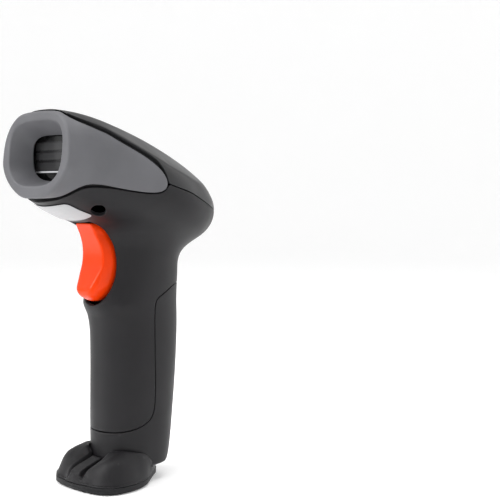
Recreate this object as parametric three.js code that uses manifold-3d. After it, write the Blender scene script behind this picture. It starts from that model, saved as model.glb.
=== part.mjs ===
// Handheld barcode scanner: pistol-grip housing that stands on its own foot.
// Millimetres, +Z up. The nose points along -Y, X runs across, and the origin is on the
// ground plane under the middle of the grip.

import * as THREE from 'three';
import { mergeVertices } from 'three/addons/utils/BufferGeometryUtils.js';
import Module from 'manifold-3d';

// ---------------------------------------------------------------- driving dimensions

const GAP = 0.35;                 // clearance between touching mouldings
const WALL = 2.2;                 // moulded wall thickness
const FACE_Y = -49.4;             // front face of the nose, at its middle height
const FACE_Z = 136.5;             // middle height of the nose
const FACE_LEAN = 0.1;            // the front face leans back: y per mm of height
const HEAD_END_Y = 39.2;          // rear end of the head
const GRIP_TOP = 113;             // top of the grip, inside the head
const GRIP_FLOOR = 7;             // underside of the grip, inside the foot
const SOLE = 0.8;                 // thickness of the rubber sole
const PLATE_TOP = 2.9;            // top of the base plate
const FOOT_TOP = 16.5;            // where the foot meets the grip
const MOUTH = { halfWidth: 18, halfHeight: 13, z: 137.4 };
const APERTURE = { halfWidth: 13.9, halfHeight: 9, z: 135.6 };
const FUNNEL_DEPTH = 9;
const PIVOT = { y: -13.2, z: 105.6, radius: 1.5, halfLength: 11.4 };
const SWITCH_Z = 89;              // height at which the trigger presses the switch
const SCREW = { x: 17, y: -31.4, seatZ: 119.2, holeRadius: 3.2 };
const CELL = { radius: 9.1, z: 14.5, length: 60, y: -1.4 };
const BASE_SCREWS = [[0, -15.5], [0, 4.6]];
const SCREW_CLEARANCE = 1.7;      // radius of a hole that a screw's shank passes through
const SOCKET = { y: -5.5, halfWidth: 4.5, halfDepth: 1.65, room: 0.4 };
const LABEL_AREA = { frontHalf: 11.2, rearHalf: 13.4, y0: -44.2, y1: -31.8 };
const TRIGGER_DIP = 0.8;          // how far the trigger's tip drops as it swings back
const TRIGGER_SIDE_GAP = 0.6;
const BEYOND = 60;                // half width of a cutting prism, past the sides of everything

// ---------------------------------------------------------------- profiles of the shell

// Smooth curve through [position, value] pairs, flat beyond its ends.
function profile(...points) {
  const slope = points.map((p, i) => {
    const a = points[Math.max(i - 1, 0)];
    const b = points[Math.min(i + 1, points.length - 1)];
    return (b[1] - a[1]) / (b[0] - a[0]);
  });
  return (t) => {
    if (t <= points[0][0]) return points[0][1];
    const last = points.length - 1;
    if (t >= points[last][0]) return points[last][1];
    const i = points.findIndex((p, k) => k < last && t <= points[k + 1][0]);
    const h = points[i + 1][0] - points[i][0];
    const u = (t - points[i][0]) / h;
    const rest = 1 - u;
    return points[i][1] * (1 + 2 * u) * rest * rest + points[i + 1][1] * u * u * (3 - 2 * u)
      + h * slope[i] * u * rest * rest - h * slope[i + 1] * u * u * rest;
  };
}

// Head, by distance along Y: half width, crown, keel and the height of the widest line.
const headHalf = profile([-54, 22], [-48, 23], [-38, 25.2], [-25, 28.2], [-12, 30.7], [0, 31.4],
  [10, 30.2], [19, 26.6], [27, 21.2], [33, 15.2], [37, 9.2], [39.2, 3.4]);
const headCrown = profile([-54, 155], [-48, 154.9], [-41, 154.3], [-30, 151.7], [-12, 145.8],
  [0, 141.2], [10, 136.9], [19, 131.8], [27, 126], [33, 121], [37, 117], [39.2, 114.4]);
const headKeel = profile([-54, 119.2], [-48, 117.9], [-41, 115], [-29, 110], [-18, 106.8],
  [-5, 104.4], [8, 100.6], [18, 98.8], [26, 100.4], [33, 104.2], [37, 107.8], [39.2, 110.4]);
const headWaist = profile([-54, 135.5], [-48, 134], [-30, 130], [-12, 126], [0, 123], [14, 119],
  [28, 115.6], [39.2, 112.4]);

// Squareness of the head's upper half, by distance along Y.
const headSquareness = profile([-50, 2.5], [-44, 2.7], [-38, 3.3], [-30, 3.45], [-20, 3.23], [-10, 2.95],
  [5, 2.6], [30, 2.2]);

// Grip, by height: half width, front and back.
const gripHalf = profile([4, 14.6], [22, 15.3], [60, 15.4], [82, 15.7], [96, 17], [113, 21]);
const gripFront = profile([4, -18.7], [24, -19], [62, -18.9], [70, -20], [75.6, -22.4], [79, -21.8],
  [88, -19.4], [113, -19.4]);
const gripBack = profile([4, 12.4], [15, 14.2], [28, 15.8], [45, 17.6], [62, 18.7], [80, 18.9],
  [90, 19.2], [97, 21], [113, 26]);

// Foot, by distance along Y: half width on the ground.
const footHalf = profile([-33.2, 4], [-32.4, 9], [-30.6, 14.6], [-27.4, 18.6], [-24, 20.1], [-19, 20.6],
  [-14, 20], [-8, 17.8], [-4, 14.8], [0, 11.4], [4, 8.2], [7.6, 5.4], [10.4, 2.2]);

// ---------------------------------------------------------------- making solids

const wasm = await Module();
wasm.setup();

function solid(geometry, matrix) {
  const shape = geometry.clone();
  if (matrix) shape.applyMatrix4(matrix);
  shape.deleteAttribute('normal');
  shape.deleteAttribute('uv');
  const merged = mergeVertices(shape, 1e-4);
  const triVerts = [];
  for (let i = 0; i < merged.index.count; i += 3) {
    const [a, b, c] = merged.index.array.slice(i, i + 3);
    if (a !== b && b !== c && c !== a) triVerts.push(a, b, c);
  }
  return new wasm.Manifold(new wasm.Mesh({
    numProp: 3,
    vertProperties: new Float32Array(merged.attributes.position.array),
    triVerts: new Uint32Array(triVerts),
  }));
}

function geometryOf(body) {
  const mesh = body.getMesh();
  const geometry = new THREE.BufferGeometry();
  geometry.setAttribute('position', new THREE.BufferAttribute(mesh.vertProperties, 3));
  geometry.setIndex(new THREE.BufferAttribute(mesh.triVerts, 1));
  geometry.computeVertexNormals();
  return geometry;
}

// Closed skin through rings of equal length, each ring wound the same way round.
function loft(rings) {
  const count = rings[0].length;
  const points = rings.flat();
  const faces = [];
  for (let r = 0; r + 1 < rings.length; r++) {
    for (let k = 0; k < count; k++) {
      const a = r * count + k;
      const b = r * count + (k + 1) % count;
      faces.push(a, b, b + count, a, b + count, a + count);
    }
  }
  for (let k = 1; k + 1 < count; k++) {
    const end = (rings.length - 1) * count;
    faces.push(0, k + 1, k, end, end + k, end + k + 1);
  }
  const geometry = new THREE.BufferGeometry();
  const values = new Float32Array(points.flatMap((p) => [p.x, p.y, p.z]));
  geometry.setAttribute('position', new THREE.BufferAttribute(values, 3));
  geometry.setIndex(faces);
  return solid(geometry);
}

const power = (value, exponent) => Math.sign(value) * Math.abs(value) ** exponent;

// A slab between two corners.
function slab(x0, x1, y0, y1, z0, z1) {
  const box = new THREE.BoxGeometry(x1 - x0, y1 - y0, z1 - z0);
  return solid(box.translate((x0 + x1) / 2, (y0 + y1) / 2, (z0 + z1) / 2));
}

// A round bar from one point to another.
function bar(from, to, radius, sides = 20) {
  const a = new THREE.Vector3(...from);
  const b = new THREE.Vector3(...to);
  const along = b.clone().sub(a);
  const turn = new THREE.Quaternion().setFromUnitVectors(
    new THREE.Vector3(0, 1, 0), along.clone().normalize());
  const place = new THREE.Matrix4().compose(
    a.clone().add(b).multiplyScalar(0.5), turn, new THREE.Vector3(1, 1, 1));
  return solid(new THREE.CylinderGeometry(radius, radius, along.length(), sides), place);
}

// A side-view outline of [y, z] points, extruded across X.
function sidePrism(outline, half) {
  const shape = new THREE.Shape(outline.map(([y, z]) => new THREE.Vector2(y, z)));
  const plate = new THREE.ExtrudeGeometry(shape, { depth: 2 * half, bevelEnabled: false });
  const place = new THREE.Matrix4().makeBasis(
    new THREE.Vector3(0, 1, 0), new THREE.Vector3(0, 0, 1), new THREE.Vector3(1, 0, 0));
  place.setPosition(-half, 0, 0);
  return solid(plate, place);
}

// The outline moved outwards by a distance; it is wound anticlockwise.
function grow(outline, distance) {
  return outline.map((point, i) => {
    const before = outline[(i + outline.length - 1) % outline.length];
    const after = outline[(i + 1) % outline.length];
    const run = new THREE.Vector2(after[0] - before[0], after[1] - before[1]).normalize();
    return [point[0] + run.y * distance, point[1] - run.x * distance];
  });
}

// ---------------------------------------------------------------- outer forms

function headRing(y, inset) {
  const shrink = Math.min(1, headHalf(y) / 9);
  const half = headHalf(y) - inset * shrink;
  const waist = headWaist(y);
  const up = headCrown(y) - waist - inset * shrink;
  const down = waist - headKeel(y) - inset * shrink;
  const steps = 40;
  return Array.from({ length: steps }, (_, k) => {
    const angle = (2 * Math.PI * k) / steps;
    const s = Math.sin(angle);
    const bend = s > 0 ? 2 / headSquareness(y) : 2 / 2.2;
    return new THREE.Vector3(half * power(Math.cos(angle), bend), y,
      waist + (s > 0 ? up : down) * power(s, bend));
  });
}

function headForm(inset = 0) {
  const stations = [-54, -49, -46, -42, -37, -31, -25, -19, -13, -7, -1, 5, 10, 15, 20, 24, 28, 31,
    33.5, 35.5, 37.2, 38.4, HEAD_END_Y];
  const tail = 14;
  const rings = stations.map((y) => {
    const ring = headRing(y, inset);
    const pull = (HEAD_END_Y - tail - inset) / (HEAD_END_Y - tail);
    const place = y > tail ? tail + (y - tail) * pull : y;
    return ring.map((p) => new THREE.Vector3(p.x, place, p.z));
  });
  return loft(rings.map((ring) => ring.reverse()));
}

function gripRing(z, inset) {
  const half = gripHalf(z) - inset;
  const front = gripFront(z) + inset;
  const back = gripBack(z) - inset;
  const steps = 36;
  return Array.from({ length: steps }, (_, k) => {
    const angle = (2 * Math.PI * k) / steps;
    return new THREE.Vector3(half * power(Math.cos(angle), 2 / 2.4),
      (front + back) / 2 + (back - front) / 2 * power(Math.sin(angle), 2 / 2.4), z);
  });
}

function gripForm(inset, bottom, top) {
  const inner = [15, 24, 34, 46, 58, 66, 71, 76, 80, 85, 90, 95, 100, 106];
  const stations = [bottom, ...inner.filter((z) => z > bottom + 1 && z < top - 1), top];
  return loft(stations.map((z) => gripRing(z, inset)));
}

// Foot section at a height: the ground outline drawn in towards the grip.
function footForm(inset, bottom, top) {
  const centreY = -9;
  const levels = [0, 3, 7, 11, 14, FOOT_TOP];
  const deep = profile([0, 0.97], [3, 1], [7, 0.96], [11, 0.85], [14, 0.74], [FOOT_TOP, 0.58]);
  const wide = profile([0, 0.97], [3, 1], [8, 0.975], [12.4, 0.9], [14, 0.82], [FOOT_TOP, 0.62]);
  const halfLength = 23;
  const stations = [bottom, ...levels.filter((z) => z > bottom && z < top), top];
  const ys = [-33.2, -32.4, -30.8, -28.4, -24.6, -19, -13.6, -8, -3, 1.6, 5.4, 8.6, 10.4];
  const right = ys.map((y) => [footHalf(y), y]);
  const outline = [...right, ...right.map(([x, y]) => [-x, y]).reverse()];
  return loft(stations.map((z) => outline.map(([x, y]) => new THREE.Vector3(
    Math.sign(x) * Math.max(Math.abs(x) * wide(z) - inset, 0.8),
    centreY + (y - centreY) * (deep(z) - inset / halfLength), z))));
}

// Everything behind the leaning front face.
function behindFace(offset) {
  const at = (z) => FACE_Y + offset + (z - FACE_Z) * FACE_LEAN;
  return sidePrism([[at(90), 90], [60, 90], [60, 170], [at(170), 170]], BEYOND);
}

const headSolid = headForm().intersect(behindFace(0));
const headHollow = headForm(WALL).intersect(behindFace(WALL));
const gripSolid = gripForm(0, GRIP_FLOOR, GRIP_TOP);
const gripHollow = gripForm(WALL, GRIP_FLOOR + WALL, GRIP_TOP - 1);

// ---------------------------------------------------------------- seams, as side views

// Nose bezel and its two wings: along the lower edge, round the tip and back on top.
const noseOutline = [[-60, 119], [-48.2, 119.4], [-46.6, 119.9], [-45.3, 121], [-44.1, 122.5],
  [-42.6, 123.9], [-40.6, 124.8], [-38, 125], [-34.2, 124.7], [-30.7, 124], [-22.9, 122.7], [-15.4, 121.9],
  [-10.5, 122.2], [-8.2, 123.5], [-7.5, 125.5], [-7.9, 127.5], [-9.9, 130.4], [-13.2, 133.3], [-17.5, 136.2],
  [-22.7, 139.1], [-27.8, 141.8], [-32.6, 144.6], [-37.5, 146.7], [-42.5, 149.2], [-44.6, 150.9],
  [-46.4, 153.2], [-60, 153.8]];

// Parting line between the top cover and the main housing, behind the nose.
const partingLine = [[-60, 136], [-20, 130], [-5, 124.9], [5, 122], [13, 119], [24, 115.7],
  [50, 110]];

// Rear cover of the grip, and the collar under it.
const rearOutline = [[-40, 0], [60, 0], [60, 84.4], [17, 83.6], [10.6, 82.6], [4.6, 79.8], [0.2, 77.2],
  [-0.9, 75.2], [-0.9, 56], [-0.9, 38], [-1.6, 31], [-3.6, 27.2], [-8, 24.6], [-14, 22.9], [-24, 21.4],
  [-40, 21.4]];

function below(line, drop) {
  return sidePrism([[line[0][0], 0], [line.at(-1)[0], 0],
    ...line.map(([y, z]) => [y, z - drop]).reverse()], BEYOND);
}

function above(line, rise) {
  return sidePrism([...line.map(([y, z]) => [y, z + rise]), [line.at(-1)[0], 180],
    [line[0][0], 180]], BEYOND);
}

// ---------------------------------------------------------------- casing

// A rounded rectangle tube section in the XZ plane, at one place along Y.
function windowRing(y, { halfWidth, halfHeight, z }, extra = 0) {
  const steps = 32;
  return Array.from({ length: steps }, (_, k) => {
    const angle = (-2 * Math.PI * k) / steps;
    const bend = Math.sin(angle) > 0 ? 2 / 3.4 : 2 / 2.7;
    return new THREE.Vector3((halfWidth + extra) * power(Math.cos(angle), bend), y,
      z + (halfHeight + extra) * power(Math.sin(angle), bend));
  });
}

function noseBezel() {
  const innerY = FACE_Y + FUNNEL_DEPTH;
  const block = headForm(GAP).intersect(slab(-40, 40, -60, innerY + 2, 100, 170));
  const shell = headSolid.subtract(headHollow);
  const funnel = loft([windowRing(-62, MOUTH, 2.6), windowRing(FACE_Y - 3, MOUTH, 0.6),
    windowRing(FACE_Y + 0.6, MOUTH, -0.5), windowRing(innerY, APERTURE), windowRing(innerY + 6, APERTURE)]);
  const cavity = slab(-21, 21, innerY + 2, innerY + 5, 124, 149);
  return shell.add(block.intersect(behindFace(0))).subtract(cavity)
    .intersect(sidePrism(noseOutline, BEYOND)).subtract(funnel);
}

function screwSeat(side) {
  const seat = bar([side * SCREW.x, SCREW.y, 108], [side * SCREW.x, SCREW.y, 121.6],
    SCREW.holeRadius + 1.4);
  return seat.intersect(headSolid);
}

function screwHole(side) {
  const head = bar([side * SCREW.x, SCREW.y, 100], [side * SCREW.x, SCREW.y, SCREW.seatZ],
    SCREW.holeRadius);
  return head.add(bar([side * SCREW.x, SCREW.y, 100], [side * SCREW.x, SCREW.y, 130],
    SCREW_CLEARANCE));
}

function coverBoss(side) {
  const foot = 122;
  const post = bar([side * SCREW.x, SCREW.y, foot], [side * SCREW.x, SCREW.y, 156], 3.2);
  const bore = bar([side * SCREW.x, SCREW.y, foot - 2], [side * SCREW.x, SCREW.y, foot + 8], 1.75);
  return post.intersect(headSolid).subtract(bore);
}

const INDICATOR = { y: 4, halfWidth: 5.5, halfLength: 2 };

function indicatorWindow(clearance) {
  const halfX = INDICATOR.halfWidth + clearance;
  const halfY = INDICATOR.halfLength + clearance;
  return slab(-halfX, halfX, INDICATOR.y - halfY, INDICATOR.y + halfY, 128, 160);
}

function topCover() {
  const shell = headSolid.subtract(headHollow).add(coverBoss(1)).add(coverBoss(-1));
  return shell.intersect(above(partingLine, GAP / 2))
    .subtract(sidePrism(grow(noseOutline, GAP), BEYOND).subtract(bossRoom()))
    .subtract(indicatorWindow(GAP));
}

// The part of the nose outline's prism that the two screw posts stand in, clear of the wings.
function bossRoom() {
  return slab(-22, 22, -35, -26, 120, 160).intersect(headForm(WALL + GAP));
}

function pinBore() {
  const end = PIVOT.halfLength + GAP;
  return bar([-end, PIVOT.y, PIVOT.z], [end, PIVOT.y, PIVOT.z], PIVOT.radius + 0.3);
}

function pivotBosses() {
  const block = slab(-20, 20, PIVOT.y - 3.4, PIVOT.y + 3.4, PIVOT.z - 3.4, PIVOT.z + 4);
  return block.subtract(slab(-9.4, 9.4, -40, 0, 90, 120));
}

// Half width of the trigger's slot in the front of the grip, by height.
const slotHalf = profile([75.4, 0.8], [76.2, 3.4], [78, 5.8], [80.5, 7.3], [82.8, 8.1], [88.2, 8.9],
  [93.7, 9.1], [99.2, 8.5], [101.2, 8.1], [104.7, 7.4], [107.2, 7.3], [110.2, 6.7]);
const slotHeights = [75.4, 75.8, 76.2, 77, 78, 79.2, 80.5, 82.8, 85.4, 88.2, 93.7, 97, 99.2, 101.2,
  104.7, 107.2, 110.2];

function triggerOpening() {
  const right = slotHeights.map((z) => [slotHalf(z), z]);
  const outline = [...right, ...right.map(([x, z]) => [-x, z]).reverse()];
  return loft([-9, -45].map((y) => outline.map(([x, z]) => new THREE.Vector3(x, y, z))));
}

function mainHousing() {
  const form = headSolid.add(gripSolid);
  const hollow = headHollow.add(gripHollow);
  return form.subtract(hollow)
    .add(pivotBosses().intersect(form))
    .add(screwSeat(1)).add(screwSeat(-1))
    .intersect(below(partingLine, GAP / 2))
    .subtract(sidePrism(grow(noseOutline, GAP), BEYOND))
    .subtract(sidePrism(grow(rearOutline, GAP), BEYOND))
    .subtract(triggerOpening())
    .subtract(pinBore())
    .subtract(screwHole(1)).subtract(screwHole(-1));
}

function rearGripCover() {
  const shell = gripSolid.subtract(gripHollow).intersect(sidePrism(rearOutline, BEYOND));
  const screwHoles = BASE_SCREWS.map(([x, y]) => bar([x, y, 0], [x, y, 12], SCREW_CLEARANCE));
  return screwHoles.reduce((body, hole) => body.subtract(hole), shell).subtract(socketOpening());
}

// ---------------------------------------------------------------- foot

function socketOpening() {
  const halfX = SOCKET.halfWidth + SOCKET.room;
  const halfY = SOCKET.halfDepth + SOCKET.room;
  return slab(-halfX, halfX, SOCKET.y - halfY, SOCKET.y + halfY, -1, 12);
}

// Two grooves that set the tongue apart from the toes.
function toeGrooves() {
  const groove = (side) => {
    const outline = [[-36, 6.4], [-30, 7.6], [-22, 9.6], [-14, 12], [-14, 30], [-36, 30]];
    return sidePrism(outline, 1).translate([side * 4.4, 0, 0]);
  };
  return groove(1).add(groove(-1));
}

function footShell() {
  const bottom = PLATE_TOP + GAP;
  const hollow = footForm(WALL, bottom - 1, 10.5);
  const gripRoom = gripForm(-GAP, GRIP_FLOOR - GAP, 40);
  return largestPiece(footForm(0, bottom, FOOT_TOP).subtract(gripRoom).subtract(hollow)
    .subtract(toeGrooves()));
}

// The biggest of a solid's separate pieces.
function largestPiece(body) {
  const pieces = body.decompose();
  return pieces.reduce((best, piece) => (piece.volume() > best.volume() ? piece : best));
}

function basePlate() {
  const plate = footForm(0.4, SOLE, PLATE_TOP);
  const holes = BASE_SCREWS.map(([x, y]) => bar([x, y, -1], [x, y, 12], SCREW_CLEARANCE)
    .add(bar([x, y, -1], [x, y, 2.25], 3)));
  return holes.reduce((body, hole) => body.subtract(hole), plate).subtract(socketOpening());
}

function solePad() {
  const pad = footForm(1.2, 0, SOLE - 0.02);
  return BASE_SCREWS.reduce((body, [x, y]) => body.subtract(bar([x, y, -1], [x, y, 2], 3.4)), pad)
    .subtract(slab(-6.5, 6.5, SOCKET.y - 3.4, SOCKET.y + 3.4, -1, 2));
}

// A pan-head screw along Z: head below, shank above, cross slot in the head.
function screw(x, y, headZ, headHeight, length) {
  const head = bar([x, y, headZ], [x, y, headZ + headHeight], 2.6);
  const shank = bar([x, y, headZ + headHeight - 0.2], [x, y, headZ + headHeight + length], 1.35, 16);
  const slot = slab(x - 1.5, x + 1.5, y - 0.3, y + 0.3, headZ - 1, headZ + 0.8);
  const cross = slab(x - 0.3, x + 0.3, y - 1.5, y + 1.5, headZ - 1, headZ + 0.8);
  return head.add(shank).subtract(slot).subtract(cross);
}

// ---------------------------------------------------------------- trigger and its switch

const triggerFront = profile([77, -22.9], [77.8, -23.9], [78.8, -25.3], [80, -26.2], [81.8, -26.6],
  [84, -25.9], [88, -23.9], [92, -22.1], [96, -21.7], [100, -22.3], [104, -23.9], [108, -25.9],
  [110.4, -27.2]);
const triggerBack = profile([77, -19.2], [79.5, -16.8], [82, -14.8], [86, -13.2], [92, -12.4], [98, -12],
  [101, -10], [110, -9.6]);
const triggerHalf = (z) => Math.min(slotHalf(z), slotHalf(z - TRIGGER_DIP)) - TRIGGER_SIDE_GAP;

function triggerRing(z) {
  const front = triggerFront(z);
  const back = triggerBack(z);
  const half = triggerHalf(z);
  const face = Math.min(0.84 * slotHalf(z), half - 1.1);
  const shoulder = Math.min(-18.9, back - 1.2);
  const right = [[face * 0.5, front + 0.12], [face, front + 0.7], [face + 0.6, front + 1.6],
    [half - 0.3, shoulder], [half, shoulder + 0.7], [half, back - 0.4], [half - 0.4, back]];
  return [...right, ...right.map(([x, y]) => [-x, y]).reverse()]
    .map(([x, y]) => new THREE.Vector3(x, y, z));
}

function trigger() {
  const heights = [77.1, 77.8, 78.8, 80, 81.4, 83, 85, 87.5, 91, 95, 99, 102.5, 105.5, 107.8, 109.4];
  const finger = loft(heights.map((z) => triggerRing(z)));
  const hubRoom = slab(-4.2, 4.2, PIVOT.y - 3.2, -8, PIVOT.z - 4, 120);
  const hollow = slab(-6.8, 6.8, -17, -8, 84.5, 99)
    .subtract(slab(-2.4, 2.4, -18, -14.4, SWITCH_Z - 2.4, SWITCH_Z + 2.4));
  return finger.subtract(hubRoom).subtract(hollow).subtract(pinBore());
}

function triggerPin() {
  return bar([-PIVOT.halfLength, PIVOT.y, PIVOT.z], [PIVOT.halfLength, PIVOT.y, PIVOT.z], PIVOT.radius);
}

// Torsion spring round the pin, wound as a closed coil with one leg towards the switch board.
function triggerSpring() {
  const coil = bar([-3, PIVOT.y, PIVOT.z], [3, PIVOT.y, PIVOT.z], 2.5);
  const leg = bar([2.4, PIVOT.y + 2.1, PIVOT.z], [2.4, -6.4, PIVOT.z - 3], 0.5, 8);
  return coil.add(leg).subtract(pinBore());
}

const BOARD = { rearY: -4.4, thickness: 1.2, halfWidth: 7.5, bottom: 80, top: 102 };
const SWITCH_SIZE = { half: 3.2, depth: 4.4, bore: 1.9 };
const SWITCH_REAR = BOARD.rearY - BOARD.thickness - GAP;
const SWITCH_FRONT = SWITCH_REAR - SWITCH_SIZE.depth;

function switchBoard() {
  return slab(-BOARD.halfWidth, BOARD.halfWidth, BOARD.rearY - BOARD.thickness, BOARD.rearY,
    BOARD.bottom, BOARD.top);
}

function switchBody() {
  const { half, bore } = SWITCH_SIZE;
  const body = slab(-half, half, SWITCH_FRONT, SWITCH_REAR, SWITCH_Z - half, SWITCH_Z + half);
  return body.subtract(bar([0, SWITCH_FRONT - 1, SWITCH_Z], [0, SWITCH_FRONT + 3.4, SWITCH_Z], bore));
}

function switchPlunger() {
  const bossFace = -14.4;
  return bar([0, bossFace + GAP, SWITCH_Z], [0, SWITCH_FRONT + 1.2, SWITCH_Z], 1.5, 16);
}

// ---------------------------------------------------------------- scan engine

const WINDOW_Y = FACE_Y + FUNNEL_DEPTH + 2 + GAP;
const WINDOW = { half: 16, bottom: 124.8, top: 146.4, thickness: 1.2 };
const LENS_Z = 131.8;
const AIMER_Z = 137.4;
const LAMP_X = 8.4;
const ENGINE = { front: -22, back: -5, bottom: 124.5, top: 139.2, half: 12.5 };

function scanWindow() {
  return slab(-WINDOW.half, WINDOW.half, WINDOW_Y, WINDOW_Y + WINDOW.thickness, WINDOW.bottom,
    WINDOW.top);
}

function windowGasket() {
  const y = WINDOW_Y + WINDOW.thickness + 0.3;
  const rim = 1.6;
  const frame = slab(-WINDOW.half, WINDOW.half, y, y + 1, WINDOW.bottom, WINDOW.top);
  return frame.subtract(slab(rim - WINDOW.half, WINDOW.half - rim, y - 1, y + 2, WINDOW.bottom + rim,
    WINDOW.top - rim));
}

// Tunnel between the window and the engine, stepped against stray light.
function lightBaffle() {
  const front = WINDOW_Y + 3;
  const back = ENGINE.front - 1;
  const outer = slab(-13.3, 13.3, front, back, 124.8, 146);
  const bore = slab(-12.1, 12.1, front - 1, back - 3, 126.4, 144.6);
  const lowerOpening = slab(-10.5, 10.5, back - 4, back + 1, 129.4, 134.2);
  const upperOpening = slab(-10.5, 10.5, back - 4, back + 1, 135.2, 138.8);
  const openings = lowerOpening.add(upperOpening);
  const steps = [0, 1, 2].map((i) => slab(-12.4, 12.4, back - 8.4 + i * 2.4, back - 2.5,
    142.8 - i * 1.4, 145));
  return steps.reduce((body, step) => body.add(step), outer.subtract(bore)).subtract(openings);
}

function engineBody() {
  const body = slab(-ENGINE.half, ENGINE.half, ENGINE.front, ENGINE.back, ENGINE.bottom, ENGINE.top);
  const lensBore = bar([0, ENGINE.front - 1, LENS_Z], [0, ENGINE.back - 3, LENS_Z], 4.4);
  const lampBores = [-LAMP_X, LAMP_X].map((x) => slab(x - 2.4, x + 2.4, ENGINE.front - 1,
    ENGINE.front + 3.4, 129.4, 134.2));
  const aimerBore = bar([0, ENGINE.front - 1, AIMER_Z], [0, ENGINE.front + 6, AIMER_Z], 1.45, 16);
  return lampBores.reduce((solidBody, bore) => solidBody.subtract(bore), body.subtract(lensBore))
    .subtract(aimerBore);
}

function lensBarrel() {
  const barrel = bar([0, ENGINE.front + 1, LENS_Z], [0, ENGINE.front + 12, LENS_Z], 4);
  return barrel.subtract(bar([0, ENGINE.front - 1, LENS_Z], [0, ENGINE.front + 14, LENS_Z], 3.1));
}

// A biconvex lens on the Y axis.
function lens() {
  const radius = 2.8;
  const rim = 0.5;
  const bulge = 0.9;
  const steps = 5;
  const front = Array.from({ length: steps + 1 }, (_, i) => {
    const r = (radius * i) / steps;
    return new THREE.Vector2(r, -rim - bulge * (1 - (r / radius) ** 2));
  });
  const back = front.map((p) => new THREE.Vector2(p.x, -p.y)).reverse();
  const turned = new THREE.LatheGeometry([...front, ...back], 20);
  return solid(turned.translate(0, ENGINE.front + 4.4, LENS_Z));
}

function lamp(x) {
  return slab(x - 2, x + 2, ENGINE.front + 0.8, ENGINE.front + 3.1, 129.8, 133.8);
}

function aimer() {
  return bar([0, ENGINE.front + 0.8, AIMER_Z], [0, ENGINE.front + 5.6, AIMER_Z], 1.1, 16);
}

function engineBoard() {
  return slab(-13, 13, ENGINE.back + GAP, ENGINE.back + GAP + 1.2, 123.5, 138);
}

// ---------------------------------------------------------------- electronics and power

const MAIN_Z = 118.6;             // underside of the main board
const MAIN_THICK = 1.4;
const ON_MAIN_Z = MAIN_Z + MAIN_THICK + GAP;

function mainBoard() {
  const corners = [[-17, -14], [17, -14], [17, 14], [10, 25], [-10, 25], [-17, 14]];
  const shape = new THREE.Shape(corners.map(([x, y]) => new THREE.Vector2(x, y)));
  const plate = new THREE.ExtrudeGeometry(shape, { depth: MAIN_THICK, bevelEnabled: false });
  return solid(plate.translate(0, 0, MAIN_Z));
}

function onMainBoard(x0, x1, y0, y1, height) {
  return slab(x0, x1, y0, y1, ON_MAIN_Z, ON_MAIN_Z + height);
}

function beeper() {
  const [x, y, z] = [10.2, 10, ON_MAIN_Z];
  return bar([x, y, z], [x, y, z + 4.2], 5.6, 28).subtract(bar([x, y, z + 3], [x, y, z + 6], 1, 12));
}

function indicatorLens() {
  const crown = headForm(0.15).intersect(indicatorWindow(0));
  return crown.subtract(headForm(WALL + 1.6));
}

function batteryCell() {
  const { radius, z, length, y } = CELL;
  return bar([0, y, z], [0, y, z + length], radius, 36)
    .add(bar([0, y, z + length - 0.1], [0, y, z + length + 1.2], 2.8, 16));
}

// Open trough that the cell lies in, against the front wall of the grip.
function batteryCradle() {
  const { radius, z, length, y } = CELL;
  const inner = radius + 0.4;
  const trough = slab(-inner - 1.4, inner + 1.4, y - inner - 1.4, y, z - 2.6, z + length + 2.8);
  const room = bar([0, y, z - 1.2], [0, y, z + length + 1.6], inner, 36)
    .add(slab(-inner, inner, y, y + 20, z - 1.2, z + length + 1.6));
  return trough.subtract(room).intersect(gripForm(WALL + GAP, z - 4, z + length + 8));
}

// Conical return contact under the cell, shown as its closed envelope.
function contactSpring() {
  const { z, y } = CELL;
  const cone = new THREE.CylinderGeometry(2.2, 3.6, 0.8, 20);
  return solid(cone, new THREE.Matrix4().makeRotationX(Math.PI / 2).setPosition(0, y - 1, z - 0.75));
}

function chargingBoard() {
  return slab(-10, 10, -11.4, 4.6, 10.6, 11.5);
}

function chargingSocket() {
  const { y, halfWidth, halfDepth } = SOCKET;
  const sheet = 0.4;
  const shell = slab(-halfWidth, halfWidth, y - halfDepth, y + halfDepth, 2, 10.3);
  const mouth = slab(sheet - halfWidth, halfWidth - sheet, y - halfDepth + sheet,
    y + halfDepth - sheet, 1, 8.6);
  return shell.subtract(mouth).add(slab(-3.2, 3.2, y - 0.35, y + 0.35, 3.4, 9));
}

// Blank rating label, bonded to the chin ahead of the trigger.
function chinLabel() {
  const skin = headForm(-0.55).subtract(headForm(-0.25));
  const { frontHalf, rearHalf, y0, y1 } = LABEL_AREA;
  const outline = [[-frontHalf, y0], [frontHalf, y0], [rearHalf, y1], [-rearHalf, y1]];
  const area = loft([100, 120].map((z) => outline.map(([x, y]) => new THREE.Vector3(x, y, z))));
  return skin.intersect(area);
}

// ---------------------------------------------------------------- scene

const group = new THREE.Group();

function add(name, body, color, roughness, metalness = 0) {
  const material = new THREE.MeshStandardMaterial({ color, roughness, metalness });
  const mesh = new THREE.Mesh(geometryOf(body), material);
  mesh.name = name;
  group.add(mesh);
}

const CHARCOAL = 0x343438;
const BLACK = 0x18181a;
const GREEN = 0x1f5a3c;
const METAL = 0xb4b6ba;
const LAMP = 0xf2efe0;

add('nose_bezel', noseBezel(), 0x85868a, 0.6);
add('top_cover', topCover(), CHARCOAL, 0.5);
add('main_housing', mainHousing(), CHARCOAL, 0.55);
add('rear_grip_cover', rearGripCover(), 0x39393d, 0.55);
add('foot_shell', footShell(), 0x303034, 0.55);
add('base_plate', basePlate(), 0x2a2a2d, 0.6);
add('sole_pad', solePad(), BLACK, 0.9);
add('chin_label', chinLabel(), 0xe4e5e8, 0.5);
add('indicator_lens', indicatorLens(), 0xc8d2d4, 0.2);

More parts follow.
